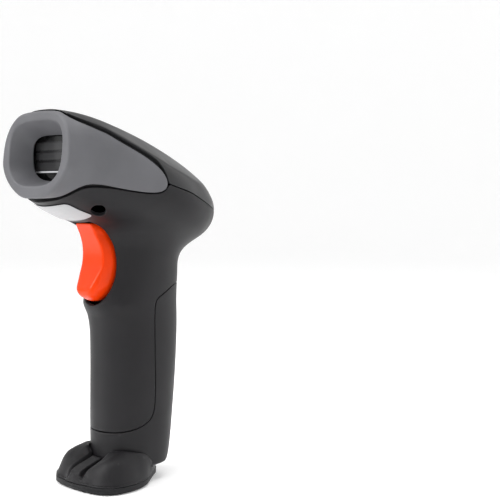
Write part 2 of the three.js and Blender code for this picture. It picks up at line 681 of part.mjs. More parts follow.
add('trigger', trigger(), 0xf9552f, 0.3);
add('trigger_pin', triggerPin(), METAL, 0.3, 1);
add('trigger_spring', triggerSpring(), METAL, 0.35, 1);
add('switch_board', switchBoard(), GREEN, 0.6);
add('switch_body', switchBody(), BLACK, 0.5);
add('switch_plunger', switchPlunger(), 0xd8d8d4, 0.5);

add('scan_window', scanWindow(), 0x6d7f8a, 0.08);
add('window_gasket', windowGasket(), BLACK, 0.9);
add('light_baffle', lightBaffle(), BLACK, 0.7);
add('engine_body', engineBody(), BLACK, 0.5);
add('lens_barrel', lensBarrel(), 0x26262a, 0.4);
add('lens', lens(), 0x7890a0, 0.05);
add('lamp_left', lamp(-LAMP_X), LAMP, 0.3);
add('lamp_right', lamp(LAMP_X), LAMP, 0.3);
add('aimer', aimer(), 0xb03028, 0.3);
add('engine_board', engineBoard(), GREEN, 0.6);

add('main_board', mainBoard(), GREEN, 0.6);
add('shield_can', onMainBoard(-13, 3, -10, 6, 2.4), METAL, 0.35, 1);
add('radio_module', onMainBoard(-9, 3, 10, 21, 1.8), METAL, 0.4, 1);
add('beeper', beeper(), BLACK, 0.6);

add('battery_cell', batteryCell(), 0x2f5f9a, 0.4);
add('battery_cradle', batteryCradle(), BLACK, 0.6);
add('contact_spring', contactSpring(), METAL, 0.35, 1);
add('charging_board', chargingBoard(), GREEN, 0.6);
add('charging_socket', chargingSocket(), METAL, 0.3, 1);

for (const [name, side] of [['head_screw_left', -1], ['head_screw_right', 1]]) {
  add(name, screw(side * SCREW.x, SCREW.y, SCREW.seatZ - 2.2, 2, 9), METAL, 0.35, 1);
}
for (const [name, [x, y]] of [['base_screw_front', BASE_SCREWS[0]], ['base_screw_rear', BASE_SCREWS[1]]]) {
  add(name, screw(x, y, 0.95, 1.1, 8), METAL, 0.35, 1);
}

export default group;
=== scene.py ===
"""Looks of a handheld barcode scanner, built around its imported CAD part.

The outer mouldings are level sets of smooth fields: the head and the grip blend into one body, and
each moulding is a patch of it, clipped along its seam, given a rounded rim and made thick. The
trigger, the bottom plate and the sole are whole closed forms.
Lengths inside the script are millimetres until a mesh is written, which is in metres.
"""

import math

import bpy
import numpy as np
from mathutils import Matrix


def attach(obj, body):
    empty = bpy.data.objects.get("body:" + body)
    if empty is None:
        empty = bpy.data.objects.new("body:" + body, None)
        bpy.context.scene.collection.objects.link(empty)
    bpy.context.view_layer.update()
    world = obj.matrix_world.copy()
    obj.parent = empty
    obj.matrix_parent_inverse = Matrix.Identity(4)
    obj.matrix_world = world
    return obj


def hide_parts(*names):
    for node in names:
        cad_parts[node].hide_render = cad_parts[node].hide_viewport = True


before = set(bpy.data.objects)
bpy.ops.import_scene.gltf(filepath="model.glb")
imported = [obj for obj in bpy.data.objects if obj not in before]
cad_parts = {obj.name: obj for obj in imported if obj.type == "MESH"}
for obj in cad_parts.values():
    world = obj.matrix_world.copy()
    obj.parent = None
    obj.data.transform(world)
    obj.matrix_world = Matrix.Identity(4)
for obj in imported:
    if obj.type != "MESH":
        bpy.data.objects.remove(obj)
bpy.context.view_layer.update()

MM = 0.001
COARSE = 1.0

# ---------------------------------------------------------------- driving dimensions

# Head, nose and label
FACE_Y = -49.4               # front face of the nose at its middle height
FACE_Z = 136.5
FACE_LEAN = 0.1              # the face leans back: y per mm of height
HEAD_END_Y = 39.2
HOOD_Y = -45.25              # front edge of the top cover, behind the hood of the nose
HOOD_Z = 153.9               # top of the hood at its middle
HOOD_FALL = 0.003            # z per mm of width squared
SILL_Z = 119.4               # underside of the nose at its front
FUNNEL_DEPTH = 9
MOUTH = (18, 13, 137.4)      # half width, half height and middle height at the face
APERTURE = (13.9, 9, 135.6)  # the same at the back of the funnel
INDICATOR = (4, 5.5, 2)      # y, half width and half length of the indicator window
SCREW = (17, -31.4)          # x and y of the head screws
SCREW_HOLE = 3               # radius of the wells that they sit in
WELL_TOP_Z = 122             # the wells are cut only below this height
LABEL_Y = (-44.9, -31.7)     # front and back edge of the label under the nose
LABEL_HALF = 11.6            # its half width near the front
LABEL_TOP_Z = 125            # it lies only on the underside, below this height
LABEL_LIFT = 0.4             # from the housing to the label's face

# Grip, trigger and charging socket
NECK_BLEND = 9               # how softly the head flows into the grip
GRIP_TOP = 112               # where the grip ends, inside the head
GRIP_FLOOR = 7
HEEL = (14.2, 13)            # y and z of a point on the slope under the grip's back
PIVOT = (-13.2, 105.6)       # y and z of the trigger's pin
PIN_HOLE = 1.8               # radius of the bore round it
SWITCH_Z = 89                # height of the switch's plunger
SLOT_Y = (-28.2, -9)         # how far forward and back the trigger's slot is cut
SLOT_Z = (75.4, 110.2)       # its lowest and highest point
TRIGGER_MIDDLE_Z = 93.4
TRIGGER_REACH = 16.2         # from that middle to the trigger's upper and lower end
TRIGGER_DIP = 0.8            # how far the trigger's tip drops as it swings back
SLOT_ROOM = 0.25             # how much wider than its outline the slot opens on each side
TRIGGER_ROOM = 0.85          # from the slot's outline in to the trigger's flank
SOCKET = (-5.5, 4.9, 2.05)   # y, half width and half depth of the charging socket's opening

# Foot, base plate and sole
TOE_Y = -33.2
FOOT_END_Y = 10.4
FOOT_FLOOR = 3.14            # underside of the foot's cover
GROOVE_DEPTH = 2.6           # of the two grooves beside the tongue
VALLEY_DEPTH = 1.7           # of the shallow valley round the grip
PLATE_TOP = 3.1
PLATE_BOTTOM = 0.82
SOLE_TOP = 0.78
BASE_SCREWS = (-15.5, 4.6)   # y of the screws in the base plate
SHANK_HOLE = 1.7             # radii round a base screw's shank and head, and in the sole below it
HEAD_HOLE = 3
SOLE_HOLE = 3.4
HEAD_SEAT_Z = 2.25           # top of the recess for a base screw's head

# Seams and walls
GAP = 0.35                   # clearance between neighbouring mouldings
NOSE_GAP = 0.5               # clearance of the housing below the nose
BED_DEPTH = 1.45             # how deep the dark strip round the nose lies
BED_WIDTH = 1.6              # how far it shows above the nose's upper edge
LIP_WIDTH = 0.7              # how much more of it shows below the nose's front
BED_WALL = 0.5               # thickness of that strip
RIM = 0.3                    # radius of a moulding's edge along a seam
WALL = 1.5                   # thickness of a visual moulding
FAR = 9.0                    # a distance that never limits a moulding


def profile(*points):
    """Smooth curve through (position, value) pairs, flat beyond its ends."""
    t, v = np.array(points, float).T
    before, after = np.maximum(np.arange(len(t)) - 1, 0), np.minimum(np.arange(len(t)) + 1, len(t) - 1)
    slope = (v[after] - v[before]) / (t[after] - t[before])

    def at(x):
        x = np.clip(x, t[0], t[-1])
        i = np.clip(np.searchsorted(t, x, side="right") - 1, 0, len(t) - 2)
        h = t[i + 1] - t[i]
        u = (x - t[i]) / h
        rest = 1 - u
        ends = v[i] * (1 + 2 * u) * rest**2 + v[i + 1] * u * u * (3 - 2 * u)
        return ends + h * slope[i] * u * rest**2 - h * slope[i + 1] * u * u * rest

    return at


# Head, by distance along Y: half width, the heights of its top, its underside and its widest line,
# how square its upper sections are, and where the facets end, as a share of the half width.
head_half = profile((-54, 22), (-48, 23), (-38, 25.2), (-25, 28.2), (-12, 30.7), (0, 31.4), (10, 30.2),
                    (19, 26.6), (27, 21.2), (33, 15.2), (37, 9.2), (HEAD_END_Y, 3.4))
head_crown = profile((-54, 155), (-48, 154.9), (-41, 154.3), (-30, 151.7), (-12, 145.8), (0, 141.2),
                     (10, 136.9), (19, 131.8), (27, 126), (33, 121), (37, 117), (HEAD_END_Y, 114.4))
head_keel = profile((-54, 119.2), (-48, 117.9), (-41, 115), (-29, 110), (-18, 106.8), (-5, 104.4),
                    (8, 100.6), (18, 98.8), (26, 100.4), (33, 104.2), (37, 107.8), (HEAD_END_Y, 110.4))
head_waist = profile((-54, 135.5), (-48, 134), (-30, 130), (-12, 126), (0, 123), (14, 119), (28, 115.6),
                     (HEAD_END_Y, 112.4))
head_squareness = profile((-50, 2.5), (-44, 2.7), (-38, 3.3), (-30, 3.45), (-20, 3.23), (-10, 2.95),
                          (5, 2.6), (30, 2.2))
ridge_share = profile((-46, 0.8), (-36, 0.845), (-27, 0.9), (-17, 0.94), (-5, 0.965))

# Grip, by height: half width, and its front and back in side view.
grip_half = profile((4, 14.6), (22, 15.3), (60, 15.4), (82, 15.7), (96, 16.2), (113, 17))
grip_front = profile((4, -18.7), (24, -19), (62, -18.9), (70, -20), (75.6, -22.4), (79, -21.8),
                     (88, -19.4), (113, -19.4))
grip_back = profile((4, 12.4), (15, 14.2), (28, 15.8), (45, 17.6), (62, 18.7), (80, 18.9), (90, 19.1),
                    (113, 19.6))

# Foot, by distance along Y: half width on the ground, how far the sides lean in with height, the
# height of the lobes 5 mm from the middle, how they rise and then fall outwards, and the height of
# the tongue between them.
foot_half = profile((TOE_Y, 4), (-32.4, 9), (-30.6, 14.6), (-27.4, 18.6), (-24, 20.1), (-19, 20.6),
                    (-14, 20), (-8, 17.8), (-4, 14.8), (0, 11.4), (4, 8.2), (7.6, 5.4), (FOOT_END_Y, 2.2))
foot_lean = profile((-33, 0.7), (-29, 0.55), (-24, 0.45), (-19, 0.36), (-14, 0.25), (-10, 0.1), (-5, -0.08),
                    (0, -0.42), (4, -0.58), (FOOT_END_Y, -0.6))
foot_crest = profile((TOE_Y, 3.8), (-31, 6.2), (-29, 8.3), (-26, 10.6), (-23, 12.5), (-20, 14.5),
                     (-17, 15.9), (-14, 16.9), (-11, 17.4), (-8, 17.3), (-5.5, 16.7), (-2.5, 14.8),
                     (0, 12), (1.5, 9), (4, 6.4), (FOOT_END_Y, 5))
foot_rise = profile((TOE_Y, 0.2), (-27, 0.24), (-22, 0.16), (-17, 0.06), (-12, 0))
foot_fall = profile((-24, 0), (-18, 0.022), (-6, 0.024), (0, 0))
tongue_top = profile((TOE_Y, 6.4), (-32.2, 7.3), (-28.2, 9.2), (-24.1, 10.5), (-20.6, 11.8), (-19, 13.4),
                     (-17.4, 18), (-2.5, 14.8), (0, 12), (4, 6.4), (FOOT_END_Y, 5))

# Trigger, by height: half width of its slot, and its front and back in side view.
slot_half = profile((SLOT_Z[0], 0.8), (76.2, 3.4), (78, 5.8), (80.5, 7.3), (82.8, 8.1), (88.2, 8.9),
                    (93.7, 9.1), (99.2, 8.5), (101.2, 8.1), (104.7, 7.4), (107.2, 7.3), (SLOT_Z[1], 6.7))
trigger_front = profile((77, -22.9), (77.8, -23.9), (78.8, -25.3), (80, -26.2), (81.8, -26.6), (84, -25.9),
                        (88, -23.9), (92, -22.1), (96, -21.7), (100, -22.3), (104, -23.9), (108, -25.9),
                        (110.4, -27.2))
trigger_back = profile((77, -19.2), (79.5, -16.8), (82, -14.8), (86, -13.2), (92, -12.4), (98, -12),
                       (101, -10), (110, -9.6))


def smooth_line(points, spacing=0.8):
    """The points joined by a smooth curve, sampled at about this spacing."""
    points = np.array(points, float)
    along = np.concatenate([[0], np.cumsum(np.hypot(*np.diff(points, axis=0).T))])
    places = np.linspace(0, along[-1], max(8, int(along[-1] / spacing)))
    return np.stack([profile(*zip(along, points[:, k]))(places) for k in (0, 1)], 1)


# Seams in side view, as (y, z).
NOSE_SEAM = smooth_line([(-48.2, 119.4), (-46.6, 119.9), (-45.3, 121), (-44.1, 122.5), (-42.6, 123.9),
                         (-40.6, 124.8), (-38, 125), (-34.2, 124.7), (-30.7, 124), (-22.9, 122.7),
                         (-15.4, 121.9), (-10.5, 122.2), (-8.2, 123.5), (-7.5, 125.5), (-7.9, 127.5),
                         (-9.9, 130.4), (-13.2, 133.3), (-17.5, 136.2), (-22.7, 139.1), (-27.8, 141.8),
                         (-32.6, 144.6), (-37.5, 146.7), (-42.5, 149.2), (-44.8, 150.9)])
BEZEL_OUTLINE = np.vstack([[(-60, 119)], NOSE_SEAM, [(-45.6, 152), (-45.6, 160), (-60, 160)]])
NOSE_OUTLINE = np.vstack([[(-60, 119)], NOSE_SEAM, [(-45.2, 151.2), (-60, 151.2)]])
PARTING_LINE = profile((-60, 136), (-20, 130), (-5, 124.9), (5, 122), (13, 119), (24, 115.7), (50, 110))
REAR_OUTLINE = np.vstack([[(-40, 0), (60, 0), (60, 84.4)], smooth_line(
    [(17, 83.6), (10.6, 82.6), (4.6, 79.8), (0.2, 77.2), (-0.9, 73.8), (-0.9, 56), (-0.9, 38), (-1.6, 31),
     (-3.6, 27.2), (-8, 24.6), (-14, 22.9), (-24, 21.4)]), [(-40, 21.4)]])


# ---------------------------------------------------------------- fields

def smin(a, b, k):
    """The smaller of two fields, blended where they differ by less than k."""
    h = np.maximum(k - np.abs(a - b), 0) / k
    return np.minimum(a, b) - h * h * k / 4


def smax(a, b, k):
    return -smin(-a, -b, k)


def smoothstep(start, end, x):
    """Rises smoothly from 0 at start to 1 at end, either of which may be the lower."""
    u = np.clip((x - start) / (end - start), 0, 1)
    return u * u * (3 - 2 * u)


def rounded_box(u, v, half_u, half_v, radius):
    """Signed distance to a rounded rectangle about the origin, positive inside it."""
    du, dv = np.abs(u) - half_u + radius, np.abs(v) - half_v + radius
    return radius - np.hypot(np.maximum(du, 0), np.maximum(dv, 0)) - np.minimum(np.maximum(du, dv), 0)


def near_distance(raw, least=0.01):
    """A raw level field divided by its slope, which is close to a true distance near its zero."""
    e = 0.05

    def field(x, y, z):
        f = raw(x, y, z)
        slope = (raw(x + e, y, z) - f) ** 2 + (raw(x, y + e, z) - f) ** 2 + (raw(x, y, z + e) - f) ** 2
        return f / np.maximum(np.sqrt(slope) / e, least)

    return field


def head_raw(x, y, z):
    """Superellipse sections along Y, up to the crown above the waist and down to the keel below it."""
    waist = head_waist(y)
    above = z > waist
    reach = np.where(above, head_crown(y) - waist, waist - head_keel(y))
    keel_squareness = 1.75 + 0.45 * smoothstep(-48, -36, y)
    n = np.where(above, head_squareness(y), keel_squareness)
    return ((np.abs(x) / head_half(y)) ** n + (np.abs(z - waist) / reach) ** n) ** (1 / n) - 1


def grip_raw(x, y, z):
    """Superellipse sections by height."""
    front, back = grip_front(z), grip_back(z)
    n = 2.4
    across = np.abs(x) / grip_half(z)
    along = np.abs(y - (front + back) / 2) / ((back - front) / 2)
    return (across**n + along**n) ** (1 / n) - 1


head_near = near_distance(head_raw)
grip_near = near_distance(grip_raw)


def in_front_of_face(y, z, back=0):
    """How far ahead of the nose's leaning face a point is; back moves that face inwards."""
    return FACE_Y + back + (z - FACE_Z) * FACE_LEAN - y


def head(x, y, z):
    return smax(head_near(x, y, z), y - HEAD_END_Y, 2)


def grip(x, y, z):
    """The grip from its floor, with a slope under its back, up into the head."""
    slope = 0.68 * (y - HEEL[0]) - 0.74 * (z - HEEL[1])
    floor = smax(GRIP_FLOOR - z, slope, 1)
    return smax(smax(grip_near(x, y, z), floor, 1.6), z - GRIP_TOP, 1)


def body(x, y, z):
    """Head and grip as one form, cut by the nose's face."""
    return smin(smax(head(x, y, z), in_front_of_face(y, z), 1), grip(x, y, z), NECK_BLEND)


def crown_at(x, y):
    """Height of the head's upper surface over a point."""
    n = head_squareness(y)
    waist = head_waist(y)
    share = np.clip(np.abs(x) / head_half(y), 0, 1)
    return waist + (head_crown(y) - waist) * (1 - share**n) ** (1 / n)


def cover_form(x, y, z):
    """The head with a flat facet along each shoulder, which fades out towards the rear."""
    inner = head_half(y) * (0.64 - 0.1 * smoothstep(-40, 10, y))
    outer = head_half(y) * ridge_share(y)
    z0, z1 = crown_at(inner, y), crown_at(outer, y)
    span = np.hypot(outer - inner, z0 - z1)
    facet = ((np.abs(x) - inner) * (z0 - z1) + (z - z0) * (outer - inner)) / span
    return smax(head(x, y, z), facet - 2.5 * smoothstep(6, 30, y), 0.5)


def cover(x, y, z):
    """The cover's outer face and its front edge under the hood."""
    return smax(cover_form(x, y, z), HOOD_Y - y, 0.5)


def cover_bed(x, y, z):
    """The recessed strip of the cover beside the nose."""
    return cover(x, y, z) + BED_DEPTH


def housing_bed(x, y, z):
    """The recessed strip of the housing below the nose."""
    return body(x, y, z) + BED_DEPTH


def bezel_arch(x):
    """Top edge of the nose's hood."""
    return HOOD_Z - HOOD_FALL * x * x


def rounded_window(half_width, half_height, middle, x, z):
    """A superellipse seen from the front, squarer above its middle than below it."""
    above = z > middle
    n = np.where(above, 3.4, 2.7)
    return ((np.abs(x) / half_width) ** n + (np.abs(z - middle) / half_height) ** n) ** (1 / n) - 1


def funnel_raw(x, y, z):
    """The hollow of the nose, which narrows from its mouth to the aperture."""
    behind_face = -in_front_of_face(y, z)
    t = behind_face / (FUNNEL_DEPTH - (z - FACE_Z) * FACE_LEAN)
    t = np.where(t < 0, t * 1.2, np.minimum(t, 1))
    width, height, middle = (a + (b - a) * t for a, b in zip(MOUTH, APERTURE))
    return rounded_window(width, height, middle, x, z)


funnel = near_distance(funnel_raw)


def bezel(x, y, z):
    """The nose: the head's form under an arched hood and over a sill, with the funnel cut into it."""
    sill = SILL_Z - 3 * smoothstep(-46, -43, y)
    outer = smax(smax(head(x, y, z), z - bezel_arch(x), 1), sill - z, 1.2)
    ring = smax(outer, in_front_of_face(y, z, -0.1), 1.1)
    return smax(ring, -funnel(x, y, z), 0.5)


def foot_side_raw(x, y, z):
    return np.abs(x) - foot_half(y)


foot_side = near_distance(foot_side_raw)


def foot_roof_raw(x, y, z):
    """Two lobes with a tongue between two grooves in the middle, and a valley round the grip."""
    width = np.abs(x)
    lobe_top = foot_crest(y) + foot_rise(y) * (width - 5) - foot_fall(y) * np.maximum(width - 6, 0) ** 2
    lobe = smoothstep(4.2, 8.5, width)
    groove = smoothstep(2.8, 3.3, width) * (1 - smoothstep(4, 5.6, width)) * smoothstep(-32.4, -30, y)
    valley = np.exp(-(np.maximum(body(x, y, z), 0) / 1.1) ** 2) * smoothstep(4, 0, y)
    return z - lobe * lobe_top - (1 - lobe) * tongue_top(y) + GROOVE_DEPTH * groove + VALLEY_DEPTH * valley


foot_roof = near_distance(foot_roof_raw)


def foot_plan(x, y, z):
    """Ground outline of the foot, drawn in as its sides lean."""
    lean = foot_lean(y)
    side = (foot_side(x, y, z) + lean * np.maximum(z - 3, 0)) / np.sqrt(1 + lean * lean)
    return smax(smax(side, TOE_Y - y, 2), y - FOOT_END_Y, 1.5)


def foot(x, y, z):
    """The foot; its roof rolls softly into its sides, and more tightly at the tip of the tongue."""
    tongue = 1 - smoothstep(2.6, 4, np.abs(x))
    shaped = smax(foot_plan(x, y, z), foot_roof(x, y, z), 4 - 3 * tongue)
    return smax(shaped, FOOT_FLOOR - z, 0.12)


def flat_slice(inset, low, high, holes):
    """A flat slice of the foot's outline with holes; each hole is positive inside itself."""
    def field(x, y, z):
        slab = np.abs(z - (low + high) / 2) - (high - low) / 2
        shape = smax(foot_plan(x, y, 3) + inset, slab, 0.2)
        for hole in holes:
            shape = np.maximum(shape, hole(x, y, z))
        return shape

    return field


def screw_hole(y_at, radius, below=FAR):
    """A round hole in the middle of the base, up to a height."""
    def field(x, y, z):
        return np.minimum(radius - np.hypot(x, y - y_at), below - z)

    return field


def socket_hole(extra):
    """The charging socket's opening, with extra room round it."""
    def field(x, y, z):
        return rounded_box(x, y - SOCKET[0], SOCKET[1] + extra, SOCKET[2] + extra, 1)

    return field


def box_field(low, high):
    """A box from corner to corner, negative inside."""
    middle, half = (np.add(low, high)) / 2, (np.subtract(high, low)) / 2

    def field(x, y, z):
        reach = [np.abs(v - m) - h for v, m, h in zip((x, y, z), middle, half)]
        return np.maximum(np.maximum(reach[0], reach[1]), reach[2])

    return field


def trigger_face_raw(x, y, z):
    return trigger_front(z) - y


trigger_face = near_distance(trigger_face_raw)

# Room in the trigger for the switch and for the hub of its pin, and the boss that presses the switch
switch_room = box_field((-6.8, -17, 84.5), (6.8, -8, 99))
switch_boss = box_field((-2.4, -18, SWITCH_Z - 2.4), (2.4, -14.4, SWITCH_Z + 2.4))
hub_room = box_field((-4.2, -16.4, 101.6), (4.2, -8, 120))


def trigger(x, y, z):
    """A lever with a hollow face and sloping flanks, which are more rounded near its tip."""
    half = np.minimum(slot_half(z), slot_half(z - TRIGGER_DIP)) - TRIGGER_ROOM
    face = np.minimum(0.84 * slot_half(z), half - 0.9)
    front = trigger_front(z)
    # Each flank slopes from the edge of the face, where it is 0.5 back, to the lever's side here.
    flank_end_y = -18.7
    run_x, run_y = half - 0.3 - face, flank_end_y - front - 0.5
    width = np.abs(x)
    flank = ((width - face) * run_y - (y - front - 0.5) * run_x) / np.hypot(run_x, run_y)
    crease = 0.9 + 1.6 * smoothstep(92, 84, z)
    shape = smax(smax(trigger_face(x, y, z), flank, crease), width - half, 1)
    shape = smax(shape, smax(y - trigger_back(z), np.abs(z - TRIGGER_MIDDLE_Z) - TRIGGER_REACH, 1.6), 1)
    room = np.maximum(switch_room(x, y, z), -switch_boss(x, y, z))
    bore = PIN_HOLE - np.hypot(y - PIVOT[0], z - PIVOT[1])
    return np.maximum(np.maximum(shape, -room), np.maximum(-hub_room(x, y, z), bore))


def label_face(x, y, z):
    return body(x, y, z) - LABEL_LIFT


# ---------------------------------------------------------------- skins

def skin(field, low, high, step):
    """Quads round the zero level of a field, one vertex in each grid cell that it passes through."""
    step *= COARSE
    axes = [np.arange(a, b + step, step) for a, b in zip(low, high)]
    value = field(*np.meshgrid(*axes, indexing="ij"))
    cells = np.array(value.shape) - 1
    weights = np.array([cells[1] * cells[2], cells[2], 1])
    total, count = np.zeros((cells.prod(), 3)), np.zeros(cells.prod())
    quads = []
    for axis in range(3):
        one, two = (axis + 1) % 3, (axis + 2) % 3
        first = np.take(value, range(value.shape[axis] - 1), axis)
        last = np.take(value, range(1, value.shape[axis]), axis)
        corner = np.argwhere((first < 0) != (last < 0))
        keep = (corner[:, one] > 0) & (corner[:, two] > 0)
        keep &= (corner[:, one] < cells[one]) & (corner[:, two] < cells[two])
        corner = corner[keep]
        a, b = first[tuple(corner.T)], last[tuple(corner.T)]
        point = corner.astype(float)
        point[:, axis] += a / (a - b)
        ring = []
        for back_one, back_two in ((1, 1), (0, 1), (0, 0), (1, 0)):
            cell = corner.copy()
            cell[:, one] -= back_one
            cell[:, two] -= back_two
            index = cell @ weights
            ring.append(index)
            for k in range(3):
                total[:, k] += np.bincount(index, point[:, k], len(total))
            count += np.bincount(index, minlength=len(count))
        ring = np.stack(ring, 1)
        ring[a >= 0] = ring[a >= 0][:, ::-1]
        quads.append(ring)
    quads = np.vstack(quads)
    used, quads = np.unique(quads, return_inverse=True)
    points = np.array(low) + total[used] / count[used, None] * step
    return settle(points, quads.reshape(-1, 4), field)


def slope_of(field, points, e=0.02):
    """Slope of a field at points, from steps of e to both sides."""
    sides = []
    for axis in range(3):
        move = np.zeros(3)
        move[axis] = e
        sides.append((field(*(points + move).T) - field(*(points - move).T)) / (2 * e))
    return np.stack(sides, 1)


def project(field, points, rounds=2):
    """Moves points along the slope onto the field's surface."""
    for _ in range(rounds):
        slope = slope_of(field, points)
        size = np.maximum((slope**2).sum(1), 1e-3)
        move = field(*points.T) / size
        points = points - np.clip(move, -1, 1)[:, None] * slope
    return points


def settle(points, quads, field, rounds=3):
    """Evens out the spacing of the points while they stay on the field's surface."""
    points = project(field, points)
    for _ in range(rounds):
        total, count = np.zeros_like(points), np.zeros(len(points))
        for k in range(4):
            here, there = quads[:, k], quads[:, (k + 1) % 4]
            for a, b in ((here, there), (there, here)):
                for axis in range(3):
                    total[:, axis] += np.bincount(a, points[b, axis], len(points))
                count += np.bincount(a, minlength=len(points))
        points = project(field, 0.4 * points + 0.6 * total / np.maximum(count, 1)[:, None])
    return points, quads


def triangles_of(quads):
    return np.vstack([quads[:, [0, 1, 2]], quads[:, [0, 2, 3]]])


def outward(field, points):
    """Unit normals of the field's surface."""
    slope = slope_of(field, points)
    return slope / np.maximum(np.linalg.norm(slope, axis=1), 1e-9)[:, None]


def onto_line(points, field, keep):
    """Moves points along the surface onto the line where keep is zero."""
    for _ in range(3):
        normal = outward(field, points)
        slope = slope_of(keep, points)
        slope -= (slope * normal).sum(1)[:, None] * normal
        size = np.maximum((slope**2).sum(1), 0.05)
        move = np.clip(keep(*points.T) / size, -0.5, 0.5)
        points = project(field, points - move[:, None] * slope, 1)
    return points


def clip(points, faces, field, keep, snap):
    """The part of a triangle skin where keep is positive, cut cleanly along its zero line."""
    side = keep(*points.T)
    near = np.abs(side) < snap
    points = points.copy()
    points[near] = onto_line(points[near], field, keep)
    side[near] = 0
    sign = np.sign(side)[faces]
    whole = faces[(sign.min(1) >= 0) & (sign.max(1) > 0)]
    mixed = faces[(sign.min(1) < 0) & (sign.max(1) > 0)]
    fresh, places, made = {}, [], []
    for face in mixed:
        ring = []
        for a, b in zip(face, np.roll(face, -1)):
            if side[a] >= 0:
                ring.append(a)
            if side[a] * side[b] < 0:
                key = (min(a, b), max(a, b))
                if key not in fresh:
                    fresh[key] = len(points) + len(places)
                    share = side[key[0]] / (side[key[0]] - side[key[1]])
                    places.append(points[key[0]] + share * (points[key[1]] - points[key[0]]))
                ring.append(fresh[key])
        made.extend((ring[0], ring[k], ring[k + 1]) for k in range(1, len(ring) - 1))
    if places:
        points = np.vstack([points, onto_line(np.array(places), field, keep)])
        faces = np.vstack([whole, np.array(made)])
    else:
        faces = whole
    used, faces = np.unique(faces, return_inverse=True)
    return points[used], faces.reshape(-1, 3)


def rim_edges(faces, count):
    """Directed edges that only one triangle has."""
    edges = np.vstack([faces[:, [0, 1]], faces[:, [1, 2]], faces[:, [2, 0]]])
    key, back = edges[:, 0] * count + edges[:, 1], edges[:, 1] * count + edges[:, 0]
    return edges[~np.isin(key, back)]


def shell(field, keep, low, high, step, rim=RIM, wall=WALL):
    """A closed moulding: the field's surface where keep is positive, with rounded rims and a back face.
    Gives points, triangles and one normal for each triangle corner."""
    step_snap = 0.28 * step * COARSE
    points, quads = skin(field, low, high, step)

    def inner(x, y, z):
        return keep(x, y, z) - rim

    points, faces = clip(points, triangles_of(quads), field, inner, step_snap)
    normal = outward(field, points)
    count = len(points)
    edges = rim_edges(faces, count)
    border = np.unique(edges)
    place = np.zeros(count, int)
    place[border] = np.arange(len(border))
    out = -slope_of(keep, points[border])
    out -= (out * normal[border]).sum(1)[:, None] * normal[border]
    out /= np.maximum(np.linalg.norm(out, axis=1), 1e-6)[:, None]
    all_points, all_faces, all_normals = [points], [faces], [normal[faces]]
    previous, previous_normal = border, normal[border]
    total = count
    for angle in (30, 60, 90, None):
        if angle is None:
            ring = points[border] + out * rim - normal[border] * wall
            ring_normal = out
        else:
            s, c = math.sin(math.radians(angle)), math.cos(math.radians(angle))
            ring = points[border] + out * rim * s - normal[border] * rim * (1 - c)
            ring_normal = normal[border] * c + out * s
        here = total + np.arange(len(border))
        a, b = place[edges[:, 0]], place[edges[:, 1]]
        quad = np.stack([previous[b], previous[a], here[a], here[b]], 1)
        lit = np.stack([previous_normal[b], previous_normal[a], ring_normal[a], ring_normal[b]], 1)
        all_faces.append(triangles_of(quad))
        all_normals.append(np.vstack([lit[:, [0, 1, 2]], lit[:, [0, 2, 3]]]))
        all_points.append(ring)
        total += len(border)
        previous, previous_normal = here, ring_normal
    back_points = points - normal * wall
    back_faces = faces[:, ::-1] + total
    all_points.append(back_points)
    all_faces.append(back_faces)
    all_normals.append(-normal[faces[:, ::-1]])
    quad = np.stack([previous[b], previous[a], total + edges[:, 0], total + edges[:, 1]], 1)
    all_faces.append(triangles_of(quad))
    down = -normal[np.stack([edges[:, 1], edges[:, 0], edges[:, 0], edges[:, 1]], 1)]
    all_normals.append(np.vstack([down[:, [0, 1, 2]], down[:, [0, 2, 3]]]))
    return np.vstack(all_points), np.vstack(all_faces), np.vstack(all_normals)


def closed_form(field, low, high, step):
    """The whole skin of a field, with the same three results as shell."""
    points, quads = skin(field, low, high, step)
    faces = triangles_of(quads)
    normal = outward(field, points)
    return points, faces, normal[faces]


def write_mesh(name, parts, material):
    """One object from (points, triangles, corner normals) parts, in metres."""
    base, points, faces, normals = 0, [], [], []
    for p, f, n in parts:
        points.append(p)
        faces.append(f + base)
        normals.append(n)
        base += len(p)
    points, faces, normals = np.vstack(points) * MM, np.vstack(faces), np.vstack(normals)
    mesh = bpy.data.meshes.new(name)
    mesh.vertices.add(len(points))
    mesh.vertices.foreach_set("co", points.astype(np.float32).ravel())
    mesh.loops.add(faces.size)
    mesh.loops.foreach_set("vertex_index", faces.astype(np.int32).ravel())
    mesh.polygons.add(len(faces))
    mesh.polygons.foreach_set("loop_start", np.arange(0, faces.size, 3, dtype=np.int32))
    mesh.update(calc_edges=True)
    mesh.normals_split_custom_set(normals.reshape(-1, 3))
    mesh.materials.append(material)
    piece = bpy.data.objects.new(name, mesh)
    bpy.context.scene.collection.objects.link(piece)
    return piece


def place_piece(name, parts, material, body_name, slot, *nodes):
    """Writes a piece that moves with a body and stands in for CAD nodes."""
    piece = write_mesh(name, parts, material)
    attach(piece, body_name)
    if nodes:
        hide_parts(*nodes)
    return piece


# ---------------------------------------------------------------- where each moulding ends
# A keep function is positive where its moulding stays and zero along its seams.

def outline_distance(u, v, outline):
    """Signed distance in a plane to a closed outline, positive inside it."""
    best, inside = np.full(np.shape(u), 1e9), np.zeros(np.shape(u), bool)
    for (pu, pv), (qu, qv) in zip(outline, np.roll(outline, -1, 0)):
        eu, ev = qu - pu, qv - pv
        t = np.clip(((u - pu) * eu + (v - pv) * ev) / (eu * eu + ev * ev), 0, 1)
        best = np.minimum(best, (u - pu - t * eu) ** 2 + (v - pv - t * ev) ** 2)
        if ev:
            inside ^= ((pv > v) != (qv > v)) & (u < eu * (v - pv) / ev + pu)
    return np.where(inside, 1, -1) * np.sqrt(best)


